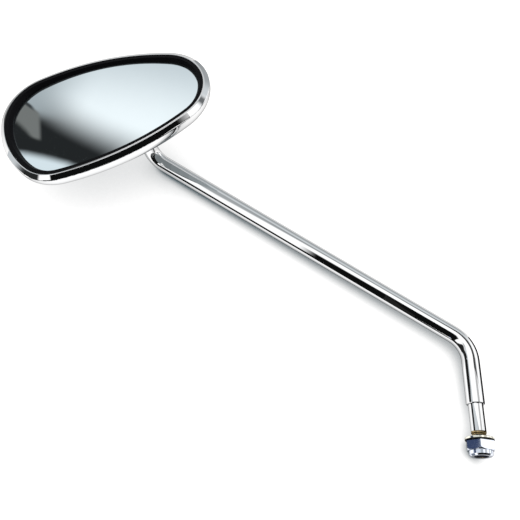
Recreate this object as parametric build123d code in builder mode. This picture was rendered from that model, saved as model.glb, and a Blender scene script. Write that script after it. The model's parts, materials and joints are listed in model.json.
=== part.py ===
"""Motorcycle mirror: an egg-shaped chrome head with convex glass, on a ball joint at the end of a bent
round stem that ends in a shouldered M10 stud with its washer and self-locking nut.

Millimetres. The origin is the centre of the stud's shoulder, +Z runs up the base of the stem, the stem
lies in the XZ plane, and the glass faces -Y.
"""

import os
from math import atan2, cos, degrees, radians, sin, sqrt, tan

from build123d import *

# Stem: shoulder, lower bend, long run, elbow and neck, measured between the corners of its centre line
stem_diameter = 12.4
base_length = 44.3
lower_bend_turn = 60.6
lower_bend_radius = 22.0
run_length = 281.3
elbow_radius = 14.0
neck_lean = 17.5
neck_length = 37.3
shoulder_chamfer = 0.4

# Stud below the shoulder
shank_diameter = 10.0
shank_length = 19.3
thread_diameter = 9.2
stud_length = 32.8
stud_chamfer = 1.0

# Washer and self-locking nut
washer_diameter = 18.8
washer_bore = 10.5
washer_thickness = 2.0
washer_top = -22.3
washer_chamfer = 0.3
nut_across_flats = 17.0
nut_face_angle = 10.0
nut_hex_height = 6.5
nut_collar_diameter = 15.4
nut_collar_height = 3.5
nut_collar_chamfer = 1.0
nut_corner_angle = 38.0
thread_clearance = 0.08
ring_height = 2.2
ring_wall = 1.6
ring_cover = 0.6

# Ball joint, along the socket axis, with z = 0 at the ball's centre and +z towards the glass
ball_diameter = 14.0
spigot_diameter = 7.0
spigot_fit = 0.02
spigot_reach = 6.0
neck_shoulder = 12.0
neck_cone_height = 3.0
joint_clearance = 0.15
seat_thickness = 1.65
seat_bottom = -4.6
seat_top = -0.6
shell_clearance = 0.3
cup_bottom = 2.3
cup_top = 9.6
cup_hole = 6.0
disc_bore = 7.0
disc_diameter = 16.0
disc_thickness = 0.9
disc_cone = 0.9
stack_clearance = 0.1
hub_wall = 2.7
hub_back = 7.2
mouth_angle = 50.0
hub_root_round = 2.5
plate_diameter = 31.0
plate_thickness = 1.5
plate_hole = 6.0
screw_count = 3
screw_circle = 25.6
screw_diameter = 3.0
screw_clearance = 0.2
screw_length = 4.0
screw_head_diameter = 5.4
screw_head_height = 1.8
lug_diameter = 6.0
lug_height = 2.2

# Head: an egg-shaped rim of six tangent arcs, fuller on the side far from the stud than on the near side
head_length = 157.2
broad_end_radius = 73.1
narrow_end_radius = 37.2
far_half_angle = 6.2
far_corner_radius = 40.0
far_side_radius = 174.2
near_half_angle = 38.3
near_corner_radius = 31.0
near_side_radius = 202.1
head_roll = -40.9
socket_lean = 11.6
head_turn = -4.5
ball_offset = 18.1
ball_side = -1.3
ball_depth = 27.3

# Housing: a bevelled rim with a pocket for the gasket, and a domed bowl behind it
rim_height = 4.4
bevel_width = 3.4
bevel_depth = 2.4
lip_round = 0.9
rim_round = 1.1
lip_width = 4.4
bowl_depth = 18.0
dome_crown = 1.0
dome_power = 2.3
bowl_shares = (0, 0.3, 0.6, 0.8, 0.92, 1)
hollow_shares = (0.7, 0.85, 1)
pocket_depth = 8.0
ledge_width = 2.6
wall = 1.5

# Glass, its rubber channel and the pad behind it
glass_radius = 1200.0
glass_front = 2.1
glass_thickness = 2.2
glass_inset = 6.6
gasket_width = 4.55
gasket_slope = 2.9
gasket_flat = 2.6
gasket_front = 0.2
gasket_clearance = 0.05
pad_thickness = 1.2
pad_inset = 10.0

# Frames: the neck leaves the elbow at neck_lean from the stem's plane, and the head turns about it
run_direction = Vector(-sin(radians(lower_bend_turn)), 0, cos(radians(lower_bend_turn)))
across_run = Vector(cos(radians(lower_bend_turn)), 0, sin(radians(lower_bend_turn)))
neck_direction = Vector(0, -cos(radians(neck_lean)), 0) + run_direction * sin(radians(neck_lean))
lower_corner = Vector(0, 0, base_length)
elbow_corner = lower_corner + run_direction * run_length
ball_centre = elbow_corner + neck_direction * neck_length
socket_axis = Axis(ball_centre, neck_direction)
neck_plane = Plane(ball_centre, across_run, neck_direction)
socket_plane = Plane(neck_plane.location * Rotation(0, 0, head_roll))
socket_section = Plane(ball_centre, socket_plane.x_dir, -socket_plane.y_dir)
tilted_plane = Plane(socket_plane.location * Rotation(socket_lean, 0, head_turn))
head_origin = tilted_plane.from_local_coords(Vector(-ball_offset, -ball_side, ball_depth))
head_plane = Plane(head_origin, tilted_plane.x_dir, tilted_plane.z_dir)
head_axis = Axis(head_origin, head_plane.z_dir)

# Sizes that follow
stem_radius = stem_diameter / 2
ball_radius = ball_diameter / 2
seat_inner = ball_radius + joint_clearance
seat_outer = seat_inner + seat_thickness
socket_radius = seat_outer + shell_clearance
hub_radius = socket_radius + hub_wall
disc_top = cup_top + disc_thickness + disc_cone
plate_bottom = disc_top + stack_clearance
nut_bore_radius = thread_diameter / 2 + thread_clearance
nut_top = washer_top - washer_thickness
nut_flat_radius = nut_across_flats / 2
nut_corner_radius = nut_flat_radius / cos(radians(30))
nut_corner_drop = (nut_corner_radius - nut_flat_radius) * tan(radians(nut_corner_angle))
dome_depth = bowl_depth + dome_crown
gasket_edge = lip_width + gasket_clearance
tip = Vector(head_length / 2 - narrow_end_radius, 0)
end = Vector(broad_end_radius - head_length / 2, 0)
sphere_centre = head_plane.offset(-glass_front - glass_radius).location * Rotation(0, 90, 0)


def egg_side(half_angle, corner_radius, side_radius):
    """Centres of one side's corner and side arcs, and the side arc's angles at the tip and the corner."""
    swing = radians(half_angle)
    corner = end + Vector(-cos(swing), sin(swing)) * (broad_end_radius - corner_radius)
    to_corner = side_radius - corner_radius
    to_tip = side_radius - narrow_end_radius
    gap = tip - corner
    along = (to_corner**2 - to_tip**2 + gap.length**2) / (2 * gap.length)
    below = sqrt(to_corner**2 - along**2)
    step = gap.normalized()
    side = corner + step * along + Vector(step.Y, -step.X) * below
    tip_angle = degrees(atan2(tip.Y - side.Y, tip.X - side.X))
    corner_angle = degrees(atan2(corner.Y - side.Y, corner.X - side.X))
    return corner, side, tip_angle, corner_angle


def egg(plane, inset=0.0, scale=1.0):
    """The egg outline as a face on a plane, moved in by inset and shrunk towards the ball."""
    far = egg_side(far_half_angle, far_corner_radius, far_side_radius)
    near = egg_side(near_half_angle, near_corner_radius, near_side_radius)
    far_corner, far_side, far_tip, far_turn = far
    near_corner, near_side, near_tip, near_turn = near
    far_end = 180 - far_half_angle
    near_end = 180 + near_half_angle
    arcs = [
        (tip.X, tip.Y, narrow_end_radius, -near_tip, far_tip),
        (far_side.X, far_side.Y, far_side_radius, far_tip, far_turn),
        (far_corner.X, far_corner.Y, far_corner_radius, far_turn, far_end),
        (end.X, end.Y, broad_end_radius, far_end, near_end),
        (near_corner.X, -near_corner.Y, near_corner_radius, near_end, 360 - near_turn),
        (near_side.X, -near_side.Y, near_side_radius, -near_turn, -near_tip),
    ]
    with BuildSketch(plane) as face:
        with BuildLine():
            for x, y, radius, start, stop in arcs:
                centre = (ball_offset + (x - ball_offset) * scale, ball_side + (y - ball_side) * scale)
                CenterArc(centre, (radius - inset) * scale, start, stop - start)
        make_face()
    return face.sketch


def bowl_section(depth, inset, dome):
    """The bowl's outline at a depth behind the rim, where a dome of the given depth has drawn in."""
    scale = (1 - (depth / dome) ** dome_power) ** (1 / dome_power)
    return egg(head_plane.offset(-rim_height - depth), inset, scale)


def screw_places():
    """The screws' places round the socket axis."""
    return PolarLocations(screw_circle / 2, screw_count, start_angle=90)


os.makedirs("parts", exist_ok=True)

# Stem: one bent bar with a turned stud at the foot and a turned spigot at the neck
neck_end = ball_centre - neck_direction * neck_shoulder
with BuildPart() as stem:
    with BuildLine() as stem_path:
        FilletPolyline(
            (0, 0, 0),
            lower_corner,
            elbow_corner,
            neck_end,
            radius=[lower_bend_radius, elbow_radius],
        )
    with BuildSketch(Plane.XY):
        Circle(stem_radius)
    sweep(path=stem_path.wire())
    foot = stem.faces().sort_by(Axis.Z)[0]
    chamfer(foot.edges(), shoulder_chamfer)
    with BuildSketch(Plane.XY):
        Circle(shank_diameter / 2)
    extrude(amount=-shank_length)
    with BuildSketch(Plane.XY.offset(-shank_length)):
        Circle(thread_diameter / 2)
    extrude(amount=shank_length - stud_length)
    chamfer(stem.faces().sort_by(Axis.Z)[0].edges(), stud_chamfer)
    with BuildSketch(socket_section):
        with BuildLine():
            Polyline(
                (0, -neck_shoulder),
                (stem_radius, -neck_shoulder),
                (spigot_diameter / 2, neck_cone_height - neck_shoulder),
                (spigot_diameter / 2, spigot_reach),
                (0, spigot_reach),
                close=True,
            )
        make_face()
    revolve(axis=socket_axis)
stem.part.label = "stem"
export_step(stem.part, "parts/stem.step")

# Swivel ball: pressed over the spigot once the neck is through the housing
with BuildPart() as swivel_ball:
    with Locations(socket_plane):
        Sphere(ball_radius)
    with BuildSketch(socket_plane.offset(-ball_radius)):
        Circle(spigot_diameter / 2 + spigot_fit)
    extrude(amount=ball_radius + spigot_reach, mode=Mode.SUBTRACT)
swivel_ball.part.label = "swivel_ball"
export_step(swivel_ball.part, "parts/swivel_ball.step")

# Ball seat: a loose spherical liner between the ball and the hub
with BuildPart() as ball_seat:
    with BuildSketch(socket_section):
        Circle(seat_outer)
        Circle(seat_inner, mode=Mode.SUBTRACT)
        with Locations((seat_outer / 2, (seat_bottom + seat_top) / 2)):
            Rectangle(seat_outer, seat_top - seat_bottom, mode=Mode.INTERSECT)
    revolve(axis=socket_axis)
ball_seat.part.label = "ball_seat"
export_step(ball_seat.part, "parts/ball_seat.step")

# Pressure cup: pushed onto the ball from the glass side
with BuildPart() as pressure_cup:
    with BuildSketch(socket_plane.offset(cup_bottom)):
        Circle(seat_outer)
        Circle(cup_hole / 2, mode=Mode.SUBTRACT)
    extrude(amount=cup_top - cup_bottom)
    with Locations(socket_plane):
        Sphere(seat_inner, mode=Mode.SUBTRACT)
pressure_cup.part.label = "pressure_cup"
export_step(pressure_cup.part, "parts/pressure_cup.step")

# Disc spring: a coned washer between the cup and the plate
with BuildPart() as disc_spring:
    with BuildSketch(socket_section):
        with BuildLine():
            Polyline(
                (disc_bore / 2, cup_top + disc_cone),
                (disc_diameter / 2, cup_top),
                (disc_diameter / 2, cup_top + disc_thickness),
                (disc_bore / 2, disc_top),
                close=True,
            )
        make_face()
    revolve(axis=socket_axis)
disc_spring.part.label = "disc_spring"
export_step(disc_spring.part, "parts/disc_spring.step")

# Retainer plate: closes the hub's inner end and loads the spring
with BuildPart() as retainer_plate:
    with BuildSketch(socket_plane.offset(plate_bottom)):
        Circle(plate_diameter / 2)
        Circle(plate_hole / 2, mode=Mode.SUBTRACT)
        with screw_places():
            Circle(screw_diameter / 2 + screw_clearance, mode=Mode.SUBTRACT)
    extrude(amount=plate_thickness)
retainer_plate.part.label = "retainer_plate"
export_step(retainer_plate.part, "parts/retainer_plate.step")

# Plate screws: pan heads that hold the plate to the hub's lugs
plate_top = plate_bottom + plate_thickness
with BuildPart() as plate_screws:
    with BuildSketch(socket_plane.offset(plate_top)):
        with screw_places():
            Circle(screw_diameter / 2)
    extrude(amount=-screw_length)
    with BuildSketch(socket_plane.offset(plate_top)):
        with screw_places():
            Circle(screw_head_diameter / 2)
    extrude(amount=screw_head_height)
plate_screws.part.label = "plate_screws"
export_step(plate_screws.part, "parts/plate_screws.step")

# Housing: rim and bowl, hollowed from the front, with the socket hub leaning towards the stem
with BuildPart() as housing:
    extrude(egg(head_plane.offset(-rim_height)), amount=rim_height - bevel_depth)
    loft([egg(head_plane.offset(-bevel_depth)), egg(head_plane, bevel_width)], ruled=True)
    fillet(housing.edges().group_by(head_axis)[-1], lip_round)
    rim_edges = housing.edges().filter_by_position(head_axis, -bevel_depth - 0.1, -bevel_depth + 0.1)
    fillet(rim_edges, rim_round)
    loft([bowl_section(share * bowl_depth, 0, dome_depth) for share in bowl_shares])
    extrude(egg(head_plane, lip_width), amount=-pocket_depth, mode=Mode.SUBTRACT)
    hollow = [bowl_section(pocket_depth - rim_height, lip_width + ledge_width, dome_depth)]
    for share in hollow_shares:
        hollow.append(bowl_section(share * (bowl_depth - wall), wall, dome_depth - wall))
    loft(hollow, ruled=True, mode=Mode.SUBTRACT)
    with BuildSketch(socket_plane.offset(-hub_back)):
        Circle(hub_radius)
    extrude(amount=hub_back + plate_bottom)
    hub_roots = housing.edges().filter_by(GeomType.ELLIPSE).sort_by(head_axis)
    fillet(hub_roots[0], hub_root_round)
    with BuildSketch(socket_plane.offset(plate_bottom)):
        with screw_places():
            Circle(lug_diameter / 2)
    extrude(amount=-lug_height)
    with BuildSketch(socket_plane):
        Circle(socket_radius)
    extrude(amount=plate_bottom, mode=Mode.SUBTRACT)
    with Locations(socket_plane):
        Sphere(socket_radius, mode=Mode.SUBTRACT)
    with BuildSketch(socket_section):
        with BuildLine():
            mouth_radius = hub_back * tan(radians(mouth_angle))
            Polyline((0, 0), (mouth_radius, -hub_back), (0, -hub_back), close=True)
        make_face()
    revolve(axis=socket_axis, mode=Mode.SUBTRACT)
    with BuildSketch(socket_plane.offset(plate_bottom)):
        with screw_places():
            Circle(screw_diameter / 2 + spigot_fit)
    extrude(amount=-screw_length + plate_thickness, mode=Mode.SUBTRACT)
housing.part.label = "housing"
export_step(housing.part, "parts/housing.step")

# Mirror glass: convex, cut to the egg outline
with BuildPart() as mirror_glass:
    extrude(egg(head_plane, glass_inset), amount=-2 * pocket_depth)
    with Locations(sphere_centre):
        Sphere(glass_radius, mode=Mode.INTERSECT)
        Sphere(glass_radius - glass_thickness, mode=Mode.SUBTRACT)
mirror_glass.part.label = "mirror_glass"
export_step(mirror_glass.part, "parts/mirror_glass.step")

# Backing pad: thin foam behind the glass
with BuildPart() as backing_pad:
    extrude(egg(head_plane, pad_inset), amount=-2 * pocket_depth)
    with Locations(sphere_centre):
        Sphere(glass_radius - glass_thickness, mode=Mode.INTERSECT)
        Sphere(glass_radius - glass_thickness - pad_thickness, mode=Mode.SUBTRACT)
backing_pad.part.label = "backing_pad"
export_step(backing_pad.part, "parts/backing_pad.step")

# Glass gasket: a rubber channel round the glass, sloping from the rim down to it
with BuildPart() as glass_gasket:
    gasket_top = head_plane.offset(-gasket_front)
    extrude(egg(gasket_top, gasket_edge), amount=gasket_front - pocket_depth)
    slope = [
        egg(gasket_top, gasket_edge + gasket_flat),
        egg(head_plane.offset(-gasket_slope), gasket_edge + gasket_width),
    ]
    loft(slope, ruled=True, mode=Mode.SUBTRACT)
    extrude(egg(head_plane, gasket_edge + gasket_width), amount=-2 * pocket_depth, mode=Mode.SUBTRACT)
    add(mirror_glass.part, mode=Mode.SUBTRACT)
glass_gasket.part.label = "glass_gasket"
export_step(glass_gasket.part, "parts/glass_gasket.step")

# Washer under the nut
with BuildPart() as washer:
    with BuildSketch(Plane.XY.offset(washer_top)):
        Circle(washer_diameter / 2)
        Circle(washer_bore / 2, mode=Mode.SUBTRACT)
    extrude(amount=-washer_thickness)
    chamfer(washer.edges().filter_by(GeomType.CIRCLE), washer_chamfer)
washer.part.label = "washer"
export_step(washer.part, "parts/washer.step")

# Lock nut: hexagon with a round collar that holds the nylon ring
collar_top = nut_top - nut_hex_height
nut_end = collar_top - nut_collar_height
ring_top = nut_end + ring_cover + ring_height
with BuildPart() as lock_nut:
    with BuildSketch(Plane.XY.offset(nut_top)):
        RegularPolygon(nut_flat_radius, 6, major_radius=False, rotation=nut_face_angle)
    extrude(amount=-nut_hex_height)
    with BuildSketch(Plane.XZ):
        with BuildLine():
            Polyline(
                (0, nut_top),
                (nut_corner_radius, nut_top),
                (nut_corner_radius, collar_top + nut_corner_drop),
                (nut_flat_radius, collar_top),
                (0, collar_top),
                close=True,
            )
        make_face()
    revolve(axis=Axis.Z, mode=Mode.INTERSECT)
    with BuildSketch(Plane.XY.offset(collar_top)):
        Circle(nut_collar_diameter / 2)
    extrude(amount=-nut_collar_height)
    collar_rim = lock_nut.faces().sort_by(Axis.Z)[0].edges()
    chamfer(collar_rim, nut_collar_chamfer)
    with BuildSketch(Plane.XY.offset(nut_top)):
        Circle(nut_bore_radius)
    extrude(amount=nut_end - nut_top, mode=Mode.SUBTRACT)
    with BuildSketch(Plane.XY.offset(ring_top)):
        Circle(nut_bore_radius + ring_wall)
    extrude(amount=-ring_height, mode=Mode.SUBTRACT)
lock_nut.part.label = "lock_nut"
export_step(lock_nut.part, "parts/lock_nut.step")

# Nylon ring held in the nut's collar
with BuildPart() as nylon_ring:
    with BuildSketch(Plane.XY.offset(ring_top)):
        Circle(nut_bore_radius + ring_wall)
        Circle(nut_bore_radius, mode=Mode.SUBTRACT)
    extrude(amount=-ring_height)
nylon_ring.part.label = "nylon_ring"
export_step(nylon_ring.part, "parts/nylon_ring.step")
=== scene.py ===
# %% [markdown]
# # A chrome motorcycle mirror
#
# The mirror lies on a white table: a bent chrome stem with a threaded foot, and at its other end an
# egg-shaped chrome head that holds a convex mirror in a black rubber channel. All its shapes come from the
# solid model, which is loaded first and stays as it is. What follows gives every surface its finish, and
# sets up the room, the table, the light and the camera.

# %% Load the frame
import json
from math import degrees, pi, prod, radians

import bpy
from mathutils import Matrix, Quaternion, Vector

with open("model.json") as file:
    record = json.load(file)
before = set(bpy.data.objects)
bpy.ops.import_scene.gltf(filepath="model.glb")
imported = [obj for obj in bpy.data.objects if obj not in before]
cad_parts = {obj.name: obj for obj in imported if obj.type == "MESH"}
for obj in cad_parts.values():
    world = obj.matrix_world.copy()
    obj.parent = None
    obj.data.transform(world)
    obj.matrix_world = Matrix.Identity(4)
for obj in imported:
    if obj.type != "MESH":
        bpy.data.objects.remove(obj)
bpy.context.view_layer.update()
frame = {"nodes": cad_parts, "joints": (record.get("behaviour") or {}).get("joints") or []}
nodes = frame["nodes"]
joints = {joint["name"]: joint for joint in frame["joints"]}
scene = bpy.context.scene
scene.view_settings.view_transform = "Standard"
mm = 0.001

# %% [markdown]
# ## The directions of the object
#
# Three directions describe the stem: the run is the long straight stretch from the lower bend to the elbow,
# up is away from the table, and across is square to both, to the right of the run. They could be typed in as
# numbers, but working them out from the ball joint keeps them true to the solid model.

# %% Directions from the joints
ball = Vector(joints["head_roll"]["pos_m"])
neck = Vector(joints["head_roll"]["axis"])
neck_length = 37.3 * mm
base_length = 44.3 * mm
lower_corner = Vector((0, 0, base_length))
elbow_corner = ball - neck * neck_length
up = Vector((0, -1, 0))
run = (elbow_corner - lower_corner).normalized()
across = run.cross(up)
print("run", [round(c, 3) for c in run], "across", [round(c, 3) for c in across])

# %% [markdown]
# ## The camera
#
# The photograph looks down at the table from the foot's side. Place, aim, roll and lens were fitted to it
# from the stem's two corners, the foot and the head's outline, on a square picture. A track constraint could
# aim the camera too, but a plain matrix also holds the roll.

# %% Camera
picture_width = 520
focal_pixels = 593.5
camera_place = Vector((-170.4, -388.1, -120.6)) * mm
camera_aim = Vector((-155.1, -39.4, 74.8)) * mm
camera_roll = radians(4.06)
camera_data = bpy.data.cameras.new("camera")
camera_data.sensor_width = 36
camera_data.lens = camera_data.sensor_width * focal_pixels / picture_width
camera_data.clip_start = 10 * mm
camera = bpy.data.objects.new("camera", camera_data)
look = (camera_aim - camera_place).to_track_quat("-Z", "Y")
rolled = look @ Quaternion((0, 0, 1), camera_roll)
camera.matrix_world = Matrix.Translation(camera_place) @ rolled.to_matrix().to_4x4()
scene.collection.objects.link(camera)
scene.camera = camera
print("lens", round(camera_data.lens, 2))

# %% [markdown]
# ## Writing node trees as sums
#
# A finish is easier to read as an expression than as a list of boxes and wires. Value wraps one socket, and
# the usual operators add the Math nodes. Graph holds a tree, and its one method adds any other node.


# %% Values of a node tree
class Value:
    """A socket of a node tree that takes part in Python expressions."""

    def __init__(self, graph, socket):
        self.graph = graph
        self.socket = socket

    def math(self, operation, first, second):
        return self.graph.add("ShaderNodeMath", {"operation": operation}, {0: first, 1: second})

    def __add__(self, other):
        return self.math("ADD", self, other)

    def __radd__(self, other):
        return self.math("ADD", other, self)

    def __sub__(self, other):
        return self.math("SUBTRACT", self, other)

    def __rsub__(self, other):
        return self.math("SUBTRACT", other, self)

    def __mul__(self, other):
        return self.math("MULTIPLY", self, other)

    def __rmul__(self, other):
        return self.math("MULTIPLY", other, self)

    def __truediv__(self, other):
        return self.math("DIVIDE", self, other)

    def __rtruediv__(self, other):
        return self.math("DIVIDE", other, self)

    def largest(self, other):
        return self.math("MAXIMUM", self, other)

    def smallest(self, other):
        return self.math("MINIMUM", self, other)

    def rise(self, low, high):
        """0 below low and 1 above high, with a smooth slope between."""
        settings = {"interpolation_type": "SMOOTHSTEP"}
        sockets = {"Value": self, "From Min": low, "From Max": high}
        return self.graph.add("ShaderNodeMapRange", settings, sockets)

    def along(self, direction):
        """How far a vector reaches along a direction."""
        sockets = {0: self, 1: direction}
        return self.graph.add("ShaderNodeVectorMath", {"operation": "DOT_PRODUCT"}, sockets, "Value")


print("values ready")


# %% Node trees and colours
class Graph:
    """A node tree that is filled from nothing."""

    def __init__(self, tree):
        self.tree = tree
        tree.nodes.clear()

    def add(self, kind, settings=None, sockets=None, output=0):
        """Add a node: its settings come first, then the values and links of its sockets."""
        node = self.tree.nodes.new(kind)
        for name, value in (settings or {}).items():
            setattr(node, name, value)
        for name, value in (sockets or {}).items():
            if isinstance(value, Value):
                self.tree.links.new(value.socket, node.inputs[name])
            else:
                node.inputs[name].default_value = value
        return Value(self, node.outputs[output]) if node.outputs else None

    def mix(self, share, first, second):
        """Two colours mixed by a share from 0 to 1."""
        return self.add("ShaderNodeMix", {"data_type": "RGBA"}, {0: share, 6: first, 7: second}, 2)


untinted = (1, 1, 1)


def grey(level, tint=untinted):
    """A colour of an even level, with a tint."""
    return (level * tint[0], level * tint[1], level * tint[2], 1)


print("node trees ready")

# %% [markdown]
# ## The room
#
# Chrome has no colour of its own, so it shows the room round it. A panorama picture could be wrapped round
# the scene, but a room drawn with nodes needs no picture and every edge in it can be moved. A zone of the
# room is the share of all directions that lies beyond one or more planes. Each plane has a way it faces,
# given by its parts along the run, across it and up, then the place of its edge and the edge's softness.

# %% Zones of the room
world = bpy.data.worlds.new("studio")
world.use_nodes = True
scene.world = world
sky = Graph(world.node_tree)
direction = sky.add("ShaderNodeTexCoord", output="Generated")
to_head, to_foot = (1, 0, 0), (-1, 0, 0)
to_left = (0, -1, 0)
upward, downward = (0, 0, 1), (0, 0, -1)


def zone(*planes):
    """The share of the room that lies beyond all the planes."""
    shares = []
    for (run_part, across_part, up_part), edge, soft in planes:
        reach = direction.along(run * run_part + across * across_part + up * up_part)
        shares.append(reach.rise(edge - soft, edge + soft))
    return prod(shares[1:], start=shares[0])


def paint(room, *zones):
    """Lay zones over the room in turn, each with its level and its tint."""
    for share, level, tint in zones:
        room = sky.mix(share, room, grey(level, tint))
    return room


cool = (0.92, 0.97, 1.0)
warm = (1.0, 0.98, 0.93)
white_level = 1.5
wall_level = 0.55
room = grey(wall_level, cool)
print("room walls at", wall_level)

# %% [markdown]
# ## What the stem shows
#
# Along the stem run a white band, a grey band and a black band, which are the ceiling's panel, the pale
# ridge and dip of the wall beside it and the dark side of the room. The bands lie aslant, so most of their
# planes do too.

# %% Ceiling and sides
slant = (0.52, 1.0, -0.47)
slant_back = (-0.52, -1.0, 0.47)
ridge = zone((slant, 0.12, 0.07), (slant_back, -0.55, 0.2))
dip = zone((slant, -0.13, 0.06), (slant_back, -0.09, 0.06), (to_foot, -0.25, 0.08))
deep_dip = dip * zone((to_foot, 0.03, 0.06))
panel = zone((slant_back, 0.17, 0.1), ((-1, -0.345, 0.19), 0, 0.05))
right_white = zone((slant, 0.08, 0.06), (to_foot, 0.3, 0.08), (upward, 0.12, 0.08))
shade = zone(((-1.7, -1, -0.42), -0.03, 0.14), (to_foot, -0.148, 0.02), (to_left, 0.0, 0.06))
room = paint(room, (ridge, 0.93, cool), (dip, 0.42, cool), (deep_dip, 0.22, cool),
             (panel, white_level, untinted), (right_white, white_level, untinted), (shade, 0.006, cool))
print("ceiling and sides painted")

# %% [markdown]
# ## What the glass shows
#
# The glass looks past the head to the far end of the room. There a white wall fades into a dark one, and a
# grey doorway with a dark edge stands in the dark. The glass is nearly flat and shows only a narrow part of
# the room, so these zones are small and their edges are sharp.

# %% Far end of the room
far_side = zone((to_head, 0.47, 0.05))
far_left = far_side * zone(((-0.32, -1, 0), -0.339, 0.012))
far_shade = far_side * zone(((0.32, 1, 0), 0.339, 0.012))
far_panel = far_side * zone(((0.744, 1, 0.63), 1.16, 0.046))
far_top = far_side * zone(((0, 1, -0.6), 0, 0.16))
far_dim = zone((to_head, 0.805, 0.055), ((0, 1, -0.33), 0, 0.02))
far_white = far_side * zone(((0, 1, -1.3), 0, 0.2))
doorway = zone(((1, -0.4, 0), 0.75, 0.005), ((-0.7, 1, 0), -0.449, 0.008),
               ((0.28, -1, 0), 0.047, 0.004), ((0, 1, -0.212), 0, 0.006))
door_edge = zone(((1, -0.4, 0), 0.76, 0.005), ((0.28, -1, 0), 0.043, 0.003),
                 ((-0.28, 1, 0), -0.051, 0.003))
room = paint(room, (far_left, 0.9, cool), (far_shade, 0.022, cool), (far_panel, 1.1, untinted),
             (far_top, 0.66, cool), (far_dim, 0.5, cool), (far_white, white_level, untinted),
             (doorway, 0.21, warm), (door_edge, 0.06, cool))
print("far end painted")

# %% [markdown]
# ## What the edges show
#
# The head's bevelled rim and the stem's lower side look out low over the table. To the left the room is dark
# at the table's height, which draws the black line along the stem. Further down all is white again, as if
# the table went on.

# %% Low parts of the room
left_white = zone((to_head, 0.33, 0.03), (to_left, 0.45, 0.05), (upward, 0.2, 0.04))
left_shade = zone((to_head, 0.44, 0.04), (to_left, 0.5, 0.08))
horizon = zone((downward, -0.13, 0.04), (to_left, 0.15, 0.05), (to_foot, -0.45, 0.05))
below = zone((downward, 0.0, 0.02), (to_foot, 0.5, 0.1))
under = zone((downward, 0.36, 0.04))
room = paint(room, (left_white, white_level, untinted), (left_shade, 0.03, cool), (horizon, 0.008, cool),
             (below, 0.12, cool), (under, white_level, untinted))
print("low parts painted")

# %% [markdown]
# ## Who sees the room
#
# The room is there for reflections, so only mirror-like rays see it. The camera sees plain white, and every
# other ray meets an even light. One background with a mixed colour does all three.

# %% World
ambient = 0.6
camera_ray = sky.add("ShaderNodeLightPath", output="Is Camera Ray")
mirror_ray = Value(sky, camera_ray.socket.node.outputs["Is Glossy Ray"])
unmirrored = sky.mix(camera_ray, grey(ambient), grey(1.0))
colour = sky.mix(mirror_ray, unmirrored, room)
light = sky.add("ShaderNodeBackground", {}, {"Color": colour, "Strength": 1.0})
sky.add("ShaderNodeOutputWorld", {}, {"Surface": light})
print("world of", len(world.node_tree.nodes), "nodes")

# %% [markdown]
# ## The table
#
# The object lies on its nut and its elbow, so the table is the plane that touches both. A large plane could
# be turned until it fits, but four corners worked out from the two places of contact are exact.

# %% Table
nut_corner = Vector((3.4, 9.3, -28)) * mm
stem_radius = 6.2 * mm
resting_gap = 0.1 * mm
elbow_rest = elbow_corner - up * (stem_radius + resting_gap)
table_along = (elbow_rest - nut_corner).normalized()
table_across = table_along.cross(up).normalized()
table_size = 0.75
table_foot_end = 0.09
near_edge = nut_corner - table_along * table_foot_end
far_edge = elbow_rest + table_along * table_size
half_width = table_across * table_size
corners = [near_edge - half_width, far_edge - half_width, far_edge + half_width, near_edge + half_width]
table_mesh = bpy.data.meshes.new("table")
table_mesh.from_pydata(corners, [], [(0, 1, 2, 3)])
if table_mesh.polygons[0].normal.dot(up) < 0:
    table_mesh.flip_normals()
table = bpy.data.objects.new("table", table_mesh)
scene.collection.objects.link(table)
print("table tilt", round(degrees(up.angle(table_mesh.polygons[0].normal)), 2), "degrees")

# %% [markdown]
# ## The white of the table and its shadow
#
# In the photograph the table is burnt out to white, with a soft, slightly blue shadow close to the object on
# its lower left and a faint wide one under the head. A lamp's shadow would grey the whole table before it
# was dark enough, so the tone comes from how open each place is. One openness node looks a short way and
# leans to the light, one looks far round, and the darker of the two counts. Camera and mirror-like rays see
# this tone, a little deeper in mirrors, and other rays see white paper that the lamp lights.

# %% Table tone
paper_level = 0.8
openness = {"samples": 16}
close_reach, wide_reach = 35 * mm, 300 * mm
light_side = up + across * 0.5 + run * 0.2
close_gain, close_loss = 2.1, 0.25
wide_gain, wide_base = 1.2, 0.3
mirror_loss = 0.3
red_loss, green_loss = 0.06, 0.02
cover = bpy.data.materials.new("table_white")
cover.use_nodes = True
tree = Graph(cover.node_tree)
camera_ray = tree.add("ShaderNodeLightPath", output="Is Camera Ray")
mirror_ray = Value(tree, camera_ray.socket.node.outputs["Is Glossy Ray"])
leaning = tree.add("ShaderNodeVectorMath", {"operation": "NORMALIZE"}, {0: light_side})
close_sockets = {"Distance": close_reach, "Normal": leaning}
close = tree.add("ShaderNodeAmbientOcclusion", openness, close_sockets, "AO")
wide = tree.add("ShaderNodeAmbientOcclusion", openness, {"Distance": wide_reach}, "AO")
deeper = mirror_loss * mirror_ray * (1 - close)
white = (close_gain * close - close_loss - deeper).smallest(wide_base + wide_gain * wide)
red = (1 + red_loss) * white - red_loss
green = (1 + green_loss) * white - green_loss
tone = tree.add("ShaderNodeCombineColor", {}, {0: red, 1: green, 2: white})
seen = tree.add("ShaderNodeEmission", {}, {"Color": tone, "Strength": 1.0})
paper = tree.add("ShaderNodeBsdfDiffuse", {}, {"Color": grey(paper_level)})
lit = tree.add("ShaderNodeMixShader", {}, {0: camera_ray.largest(mirror_ray), 1: paper, 2: seen})
print("table shadow reaches", round(close_reach / mm), "and", round(wide_reach / mm), "mm")

# %% [markdown]
# ## Where the table ends
#
# The black line low on the stem is the dark of the room beyond the table's edge. The table stays whole for
# the camera, and for mirror-like rays alone it ends a little to the left of the run, between the lower bend
# and the elbow, with a slanting end under the head. Its back is clear, so a view from below is free.

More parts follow.
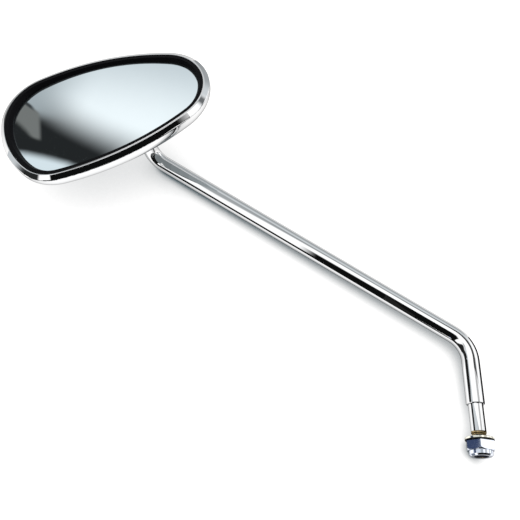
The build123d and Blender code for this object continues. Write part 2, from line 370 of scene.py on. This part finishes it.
# %% Table end
end_beside = 20
end_start = 4
end_finish = 280
end_slant = 0.6
end_soft = 2
place = tree.add("ShaderNodeTexCoord", output="Object")
from_run = place.along(across / mm) - lower_corner.dot(across) / mm
along_stem = place.along(run / mm) - lower_corner.dot(run) / mm
beside = (0 - from_run).rise(end_beside, end_beside + end_soft)
after = along_stem.rise(end_start, end_start + end_soft)
past = (along_stem + end_slant * from_run).rise(end_finish, end_finish + end_soft)
ended = beside * after * (1 - past)
back = tree.add("ShaderNodeNewGeometry", output="Backfacing")
clear = tree.add("ShaderNodeBsdfTransparent")
surface = tree.add("ShaderNodeMixShader", {}, {0: back.largest(mirror_ray * ended), 1: lit, 2: clear})
tree.add("ShaderNodeOutputMaterial", {}, {"Surface": surface})
table_mesh.materials.append(cover)
print("table ends", end_beside, "mm beside the run")

# %% [markdown]
# ## The main light
#
# One wide, soft lamp from the upper right lights the rubber, the plastic and the paper. Mirrors do not show
# it, because the room has its own panel for them. An area lamp would do as well, but a sun lamp keeps the
# same strength everywhere.

# %% Main light
key_data = bpy.data.lights.new("key", "SUN")
key_data.energy = 1.8
key_data.angle = radians(45)
key = bpy.data.objects.new("key", key_data)
key_from = up * 1.0 + across * 0.75 + run * 0.45
key.rotation_euler = key_from.to_track_quat("Z", "Y").to_euler()
key.visible_glossy = False
scene.collection.objects.link(key)
print("main light of strength", round(key_data.energy, 2))

# %% [markdown]
# ## Cards near the object
#
# A photographer sets cards round small chrome parts: white ones over the foot so that it does not go dark,
# and low dark strips beside it, which draw the dark lines along its edges. The room alone cannot do this,
# because it is the same for every place, and a card near the foot shows in the foot only. Only mirror-like
# rays see the cards, and they light nothing else.


# %% Card helper
def card(name, points, level, tint=untinted):
    """A flat card that only shows in mirror-like surfaces."""
    mesh = bpy.data.meshes.new(name)
    mesh.from_pydata(points, [], [range(len(points))])
    piece = bpy.data.objects.new(name, mesh)
    scene.collection.objects.link(piece)
    piece.visible_camera = False
    piece.visible_diffuse = False
    piece.visible_shadow = False
    material = bpy.data.materials.new(name)
    material.use_nodes = True
    tree = Graph(material.node_tree)
    glow = tree.add("ShaderNodeEmission", {}, {"Color": grey(1.0, tint), "Strength": level})
    tree.add("ShaderNodeOutputMaterial", {}, {"Surface": glow})
    mesh.materials.append(material)


print("card helper ready")

# %% [markdown]
# ## Cards over the foot
#
# Five cards hang flat over the foot, side by side. Three are white, and the gap between two of them holds a
# pale and a dark card, which give the thin grey lines on the foot's right side. Each plan lists a card's
# corners in millimetres, to the right of the stud and up along it.

# %% Hanging cards
card_height = 130
card_plans = {"foot_card": [(-60, 25), (0, 0), (25, -10), (25, 85), (-60, 85)],
              "left_card": [(-150, 55), (-60, 25), (-60, 85), (-150, 105)],
              "right_card": [(92, -30), (200, -30), (200, 70), (92, 70)],
              "gap_pale_card": [(25, -30), (92, -30), (92, 68), (25, 68)],
              "gap_dark_card": [(25, 68), (92, 68), (92, 125), (25, 125)]}
card_levels = {"gap_pale_card": 0.7, "gap_dark_card": 0.08}
for name, plan in card_plans.items():
    points = [Vector((x, -card_height, z)) * mm for x, z in plan]
    card(name, points, card_levels.get(name, white_level))
print(len(card_plans), "cards over the foot")

# %% [markdown]
# ## The shade before the elbow
#
# Towards the elbow the head shades the upper side of the run: a blue-grey wedge that grows and darkens. One
# card could carry a slope of colour, but a row of slices with a level each needs no texture.

# %% Elbow shade
slices = 6
wedge_start, wedge_length = 222, 54
wedge_right, wedge_left, wedge_growth = 5, 1, 25
wedge_height = 15
wedge_level, wedge_fade = 0.5, 0.22
wedge_tint = (0.87, 0.96, 1.0)
for number in range(slices):
    start, end = number / slices, (number + 1) / slices
    first, last = wedge_start + wedge_length * start, wedge_start + wedge_length * end
    outline = [(first, wedge_left - wedge_growth * start), (last, wedge_left - wedge_growth * end),
               (last, wedge_right), (first, wedge_right)]
    points = [lower_corner + (run * s + across * q + up * wedge_height) * mm for s, q in outline]
    card(f"elbow_shade_{number}", points, wedge_level - wedge_fade * end, wedge_tint)
print(slices, "slices of shade")

# %% [markdown]
# ## Strips beside the foot
#
# Upright strips stand on both sides of the foot. The dark ones draw the lines along the edges of the base
# and the shank, a blue one colours the nut's left face, and a blue-grey one lies below the nut for its
# collar. Each outline goes along the stud first and then up from it.


# %% Strips
def strip(name, beside, outline, level, tint=untinted):
    """A card that stands upright, at one distance beside the stud."""
    card(name, [Vector((beside, -height, along)) * mm for along, height in outline], level, tint)


def upright(start, end, low, high):
    """The outline of a plain strip."""
    return [(start, low), (end, low), (end, high), (start, high)]


left_outline = [(-3, -5), (57, -5), (57, 43), (34, 40), (24, 29), (-3, 29)]
nut_shade_corners = [(-35, 6, -34), (-12, 6, -34), (-2, 6, -60), (-35, 6, -60)]
strip("left_strip", -70, left_outline, 0.02)
strip("nut_strip", -40, upright(-28, -12, 3, 18), 0.15, (0.36, 0.51, 1.0))
strip("right_strip", 13, upright(-20, 60, -10, 6), 0.02)
card("nut_shade", [Vector(corner) * mm for corner in nut_shade_corners], 0.3, (0.75, 0.85, 1.0))
print("strips beside the foot ready")

# %% [markdown]
# ## Chrome, zinc and silver
#
# The stem and the head are chrome plated, the nut and the washer are zinc plated, and the glass is silvered.
# Each is a metal with little roughness, so what makes it look real is slight: faint waves that polishing
# left in the steel, and a breath of haze that comes and goes. Two noise textures give both. Where nut and
# washer meet, a thin dark line of painted shade is drawn into the colour.


# %% Metal finishes
patch_scale, patch_detail = 90.0, 3.0
haze_from, haze_to = 0.35, 0.7
dull_share = 0.97
wave_detail = 1.0
# Width and level of the dark band of painted shade where nut and washer meet.
joint_shade_depth, joint_shade_level = 0.3, 0.03
edge_tint = grey(0.4)


def metal(name, colour, roughness, haze, wave_scale, wave_height, painted_joint_shade=None):
    """A bright metal with faint polishing waves and patchy haze, and painted shade on one side of a height.
    """
    material = bpy.data.materials.new(name)
    material.use_nodes = True
    tree = Graph(material.node_tree)
    place = tree.add("ShaderNodeTexCoord", output="Object")
    patch_sockets = {"Vector": place, "Scale": patch_scale, "Detail": patch_detail}
    patches = tree.add("ShaderNodeTexNoise", {}, patch_sockets)
    wave_sockets = {"Vector": place, "Scale": wave_scale, "Detail": wave_detail}
    waves = tree.add("ShaderNodeTexNoise", {}, wave_sockets)
    bump = tree.add("ShaderNodeBump", {}, {"Strength": 1.0, "Distance": wave_height, "Height": waves})
    rough = roughness + haze * patches.rise(haze_from, haze_to)
    tone = tree.mix(patches, grey(dull_share, colour), grey(1.0, colour))
    # Painted shade: the colour goes dark on one side of the joint height, where nut and washer meet.
    if painted_joint_shade is not None:
        joint_height, side = painted_joint_shade
        depth = (place.along((0, 0, 1 / mm)) - joint_height) * side
        tone = tree.mix(depth.rise(0.0, joint_shade_depth), tone, grey(joint_shade_level))
    sockets = {"Base Color": tone, "Metallic": 1.0, "Roughness": rough, "Normal": bump,
               "Specular Tint": edge_tint}
    shader = tree.add("ShaderNodeBsdfPrincipled", {}, sockets)
    tree.add("ShaderNodeOutputMaterial", {}, {"Surface": shader})
    return material


print("metal finishes ready")

# %% [markdown]
# ## Rubber, plastic and foam
#
# The channel round the glass is smooth black rubber, the ring in the nut is dark nylon, the ball's seat is
# white acetal, and thin foam lies behind the glass. They differ in colour and in the size of their grain, so
# one recipe serves them all: a noise that moves the tone, the roughness and the bump together.


# %% Matt finishes
grain_detail = 4.0
grain_strength = 0.6
grain_dark, grain_pale = 0.8, 1.15
grain_roughness = 0.12
usual_shine = 0.5


def matt(name, colour, roughness, grain_scale, grain_height, shine=usual_shine):
    """A plastic, rubber or foam with a fine grain and a slight change of tone."""
    material = bpy.data.materials.new(name)
    material.use_nodes = True
    tree = Graph(material.node_tree)
    place = tree.add("ShaderNodeTexCoord", output="Object")
    grain_sockets = {"Vector": place, "Scale": grain_scale, "Detail": grain_detail}
    grain = tree.add("ShaderNodeTexNoise", {}, grain_sockets)
    bump_sockets = {"Strength": grain_strength, "Distance": grain_height, "Height": grain}
    bump = tree.add("ShaderNodeBump", {}, bump_sockets)
    tone = tree.mix(grain, grey(grain_dark, colour), grey(grain_pale, colour))
    rough = roughness + grain_roughness * grain
    sockets = {"Base Color": tone, "Roughness": rough, "Normal": bump, "Specular IOR Level": shine}
    shader = tree.add("ShaderNodeBsdfPrincipled", {}, sockets)
    tree.add("ShaderNodeOutputMaterial", {}, {"Surface": shader})
    return material


print("matt finishes ready")

# %% [markdown]
# ## The head and the foot
#
# These are the pieces that show. Each solid keeps its shape and takes one finish. Waves are long on the
# head, longer still on the glass and short on the small zinc pieces, as their sizes ask.


# %% Finishes that show
def dress(node, material):
    """Give a node of the solid model its finish."""
    nodes[node].data.materials.clear()
    nodes[node].data.materials.append(material)


chrome_colour = (0.7, 0.705, 0.71)
chrome_roughness, chrome_haze = 0.01, 0.02
# Heights in mm and sides of the painted shade at the joint between washer and nut.
washer_joint_shade, nut_joint_shade = (-23.5, -1), (-25.1, 1)
dress("housing", metal("chrome", chrome_colour, chrome_roughness, chrome_haze,
                       wave_scale=60.0, wave_height=0.004 * mm))
dress("mirror_glass", metal("silvered_glass", (0.81, 0.895, 0.93), roughness=0.01, haze=0.02,
                            wave_scale=20.0, wave_height=0.005 * mm))
dress("glass_gasket", matt("black_rubber", (0.004, 0.004, 0.005), roughness=0.4,
                           grain_scale=1500.0, grain_height=0.01 * mm, shine=0.04))
dress("washer", metal("yellow_zinc", (0.86, 0.84, 0.74), roughness=0.1, haze=0.08,
                      wave_scale=400.0, wave_height=0.005 * mm, painted_joint_shade=washer_joint_shade))
dress("lock_nut", metal("blue_zinc", (0.76, 0.8, 0.88), roughness=0.08, haze=0.06,
                        wave_scale=400.0, wave_height=0.005 * mm, painted_joint_shade=nut_joint_shade))
dress("nylon_ring", matt("dark_nylon", (0.03, 0.035, 0.06), roughness=0.4,
                         grain_scale=900.0, grain_height=0.01 * mm))
print("finishes on the head and the foot")

# %% [markdown]
# ## Inside the head
#
# The ball joint and the foam hardly show, but the head may be opened or cut for a drawing, so these pieces
# get plain workshop finishes too: ground steel, zinc, oiled spring steel, acetal and foam.

# %% Hidden finishes
dress("swivel_ball", metal("ground_steel", (0.6, 0.6, 0.61), roughness=0.2, haze=0.1,
                           wave_scale=400.0, wave_height=0.005 * mm))
dress("ball_seat", matt("acetal", (0.85, 0.84, 0.8), roughness=0.4,
                        grain_scale=600.0, grain_height=0.01 * mm))
zinc = metal("bright_zinc", (0.62, 0.63, 0.64), roughness=0.25, haze=0.15,
             wave_scale=300.0, wave_height=0.01 * mm)
for name in ("pressure_cup", "retainer_plate", "plate_screws"):
    dress(name, zinc)
dress("disc_spring", metal("oiled_spring_steel", (0.32, 0.32, 0.33), roughness=0.3, haze=0.15,
                           wave_scale=300.0, wave_height=0.01 * mm))
dress("backing_pad", matt("foam", (0.06, 0.06, 0.065), roughness=0.8,
                          grain_scale=1200.0, grain_height=0.15 * mm))
print("finishes inside the head")

# %% [markdown]
# ## The stem and its thread
#
# The stem is chrome down to the smooth shank. Below it the stud carries a fine thread, and there the chrome
# gives way to a yellow-brown passivated steel, with painted shade in the grooves and a painted highlight on
# the ridges. The ridges wind round the stud, so their height depends on the place along the axis plus the
# angle round it. Cut ridges would catch in the nut's plain bore when the nut turns, so the stud stays a
# plain cylinder and a bump draws them.

# %% Stem finish with thread
thread_start, thread_soft = -18.2, 0.2
thread_pitch = 1.25
thread_depth = 0.5 * mm
thread_roughness = 0.25
# Painted shade and highlight: the grooves are dark brown and the ridges pale yellow-brown.
shaded_groove_colour, lit_ridge_colour = (0.08, 0.05, 0.02, 1), (0.62, 0.48, 0.27, 1)
dull_chrome, bright_chrome = (0.68, 0.685, 0.69, 1), (0.7, 0.705, 0.71, 1)
stem_finish = bpy.data.materials.new("stem_chrome")
stem_finish.use_nodes = True
tree = Graph(stem_finish.node_tree)
place = tree.add("ShaderNodeTexCoord", output="Object")
along_x = place.along((1 / mm, 0, 0))
along_y = place.along((0, 1 / mm, 0))
along_z = place.along((0, 0, 1 / mm))
angle = along_x.math("ARCTAN2", along_y, along_x)
phase = along_z / thread_pitch + angle / (2 * pi)
ridge_height = 2 * phase.math("PINGPONG", phase, 0.5)
threaded = (thread_start - along_z).rise(0.0, thread_soft)
patch_sockets = {"Vector": place, "Scale": patch_scale, "Detail": patch_detail}
patches = tree.add("ShaderNodeTexNoise", {}, patch_sockets)
smooth_tone = tree.mix(patches, dull_chrome, bright_chrome)
# Painted shade in the grooves and painted highlight on the ridges, over the yellow-brown of the steel.
thread_shade_and_highlight_tone = tree.mix(ridge_height, shaded_groove_colour, lit_ridge_colour)
tone = tree.mix(threaded, smooth_tone, thread_shade_and_highlight_tone)
haze = chrome_haze * patches.rise(haze_from, haze_to)
rough = chrome_roughness + haze + thread_roughness * threaded
bump = tree.add("ShaderNodeBump", {}, {"Distance": thread_depth, "Height": threaded * ridge_height})
sockets = {"Base Color": tone, "Metallic": 1.0, "Roughness": rough, "Normal": bump,
           "Specular Tint": edge_tint}
shader = tree.add("ShaderNodeBsdfPrincipled", {}, sockets)
tree.add("ShaderNodeOutputMaterial", {}, {"Surface": shader})
dress("stem", stem_finish)
print("thread of", thread_pitch, "mm pitch")
